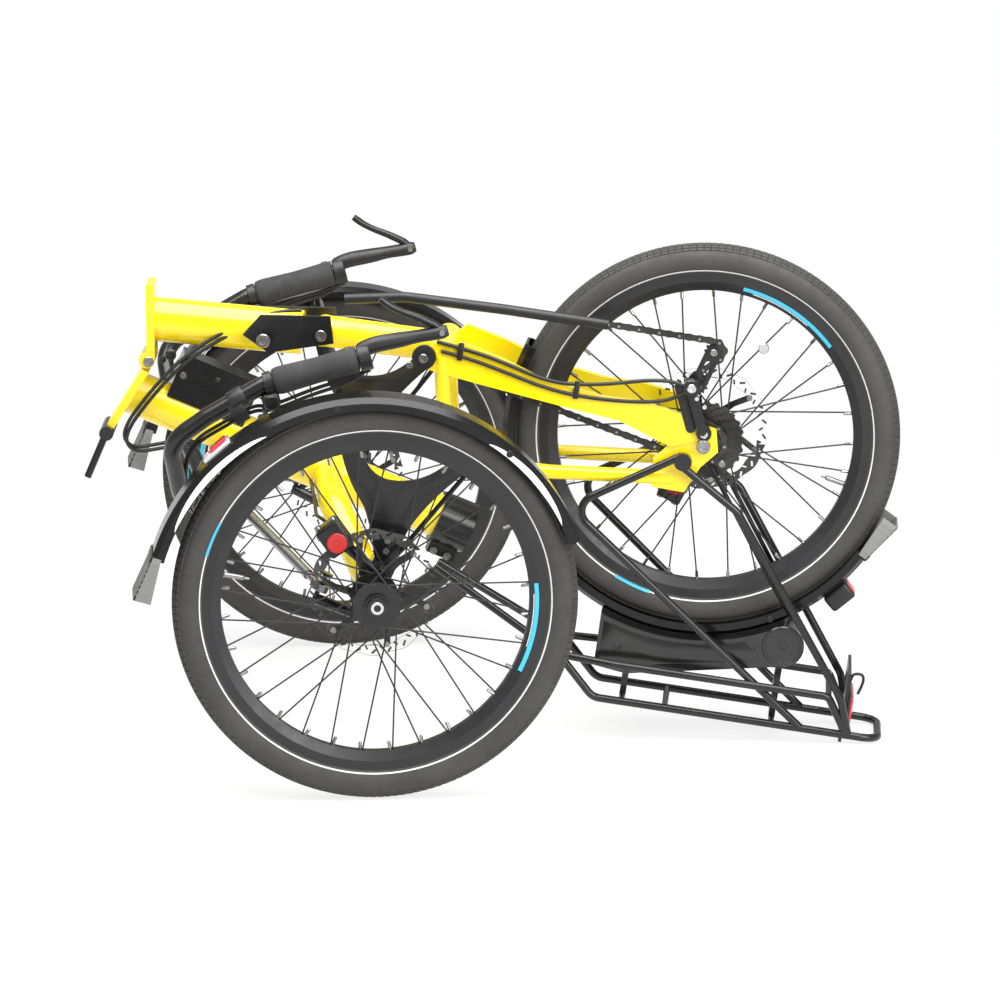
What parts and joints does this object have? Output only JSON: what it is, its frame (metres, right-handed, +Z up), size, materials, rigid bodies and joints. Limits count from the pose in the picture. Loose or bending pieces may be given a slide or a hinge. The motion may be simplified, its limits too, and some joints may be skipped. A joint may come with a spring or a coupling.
{
  "type": "folding recumbent trike",
  "caption": "Folding recumbent trike, shown folded: two steered front wheels, rear wheel and rack swung over the frame, ready for a seat and a boom.",
  "frame": {"origin": "on the floor, under the middle of the folded trike's bounding box", "axes": "+X to the trike's front, +Y to its left, +Z up"},
  "size_m": [1.0248, 0.83, 0.6299],
  "materials": {
    "frame_yellow": "gloss",
    "black_metal": "satin",
    "steel": "satin",
    "rim_black": "satin",
    "tyre": "matte",
    "grip_foam": "matte",
    "black_plastic": "matte",
    "guard_black": "gloss",
    "cable_black": "satin"
  },
  "bodies": {
    "front_frame": {"main_tube": "frame_yellow", "front_flange": "frame_yellow", "fold_latch": "black_metal", "cross_member": "frame_yellow", "seat_bracket": "black_metal", "boom_clamp": "black_metal", "steering_pivot": "black_metal"},
    "handlebar": {"handlebar": "black_metal", "grips": "grip_foam", "brake_levers": "black_plastic"},
    "tie_rod_right": {"tie_rod_right": "steel"},
    "tie_rod_left": {"tie_rod_left": "steel"},
    "knuckle_right": {"knuckle_right": "black_metal", "caliper_right": "black_metal", "mudguard_right": "guard_black"},
    "knuckle_left": {"knuckle_left": "black_metal", "caliper_left": "black_metal", "mudguard_left": "guard_black"},
    "wheel_right": {"tyre_right": "tyre", "rim_right": "rim_black", "hub_right": "black_metal", "rotor_right": "steel"},
    "wheel_left": {"tyre_left": "tyre", "rim_left": "rim_black", "hub_left": "black_metal", "rotor_left": "steel"},
    "rear_section": {"rear_flange": "frame_yellow", "rear_tube": "frame_yellow", "pivot_bracket": "steel", "swingarm": "frame_yellow", "idler": "black_plastic", "chain_tube": "black_plastic", "derailleur": "black_metal", "chain": "steel", "caliper_rear": "black_metal", "rack": "black_metal", "battery": "black_plastic", "mudguard_rear": "guard_black", "rear_light": "black_plastic", "rear_cables": "cable_black"},
    "wheel_rear": {"tyre_rear": "tyre", "rim_rear": "rim_black", "hub_rear": "black_metal", "rotor_rear": "steel", "cassette": "black_metal"}
  },
  "joints": [
    {"name": "fold", "type": "hinge", "parent": "front_frame", "child": "rear_section", "pos_m": [-0.4293, 0, 0.476], "axis": [-0.0753, -0.9969, 0.0224], "range_deg": [0, 147.7]},
    {"name": "steering", "type": "hinge", "parent": "front_frame", "child": "handlebar", "pos_m": [-0.3013, 0, 0.306], "axis": [0.4415, 0, 0.8973], "range_deg": [-21, 21]},
    {"name": "kingpin_right", "type": "hinge", "parent": "front_frame", "child": "knuckle_right", "pos_m": [-0.1643, -0.285, 0.245], "axis": [0.4372, 0.1392, 0.8885], "range_deg": [-21, 21]},
    {"name": "tie_rod_joint_right", "type": "hinge", "parent": "handlebar", "child": "tie_rod_right", "pos_m": [-0.35511, -0.022, 0.32802], "axis": [0.4415, 0, 0.8973], "range_deg": [-21, 21]},
    {"name": "spin_right", "type": "hinge", "parent": "knuckle_right", "child": "wheel_right", "pos_m": [-0.1643, -0.375, 0.245], "axis": [0, 1, 0], "continuous": true},
    {"name": "kingpin_left", "type": "hinge", "parent": "front_frame", "child": "knuckle_left", "pos_m": [-0.1643, 0.285, 0.245], "axis": [0.4372, -0.1392, 0.8885], "range_deg": [-21, 21]},
    {"name": "tie_rod_joint_left", "type": "hinge", "parent": "handlebar", "child": "tie_rod_left", "pos_m": [-0.35511, 0.022, 0.32802], "axis": [0.4415, 0, 0.8973], "range_deg": [-21, 21]},
    {"name": "spin_left", "type": "hinge", "parent": "knuckle_left", "child": "wheel_left", "pos_m": [-0.1643, 0.375, 0.245], "axis": [0, 1, 0], "continuous": true},
    {"name": "spin_rear", "type": "hinge", "parent": "rear_section", "child": "wheel_rear", "pos_m": [0.2673, -0.10619, 0.38491], "axis": [0.1506, 0.9886, -0.001], "continuous": true}
  ],
  "couplings": [
    {"joint": "kingpin_right", "follows": "steering", "ratio": 1},
    {"joint": "kingpin_left", "follows": "steering", "ratio": 1},
    {"joint": "tie_rod_joint_right", "follows": "steering", "ratio": -1},
    {"joint": "tie_rod_joint_left", "follows": "steering", "ratio": -1}
  ]
}
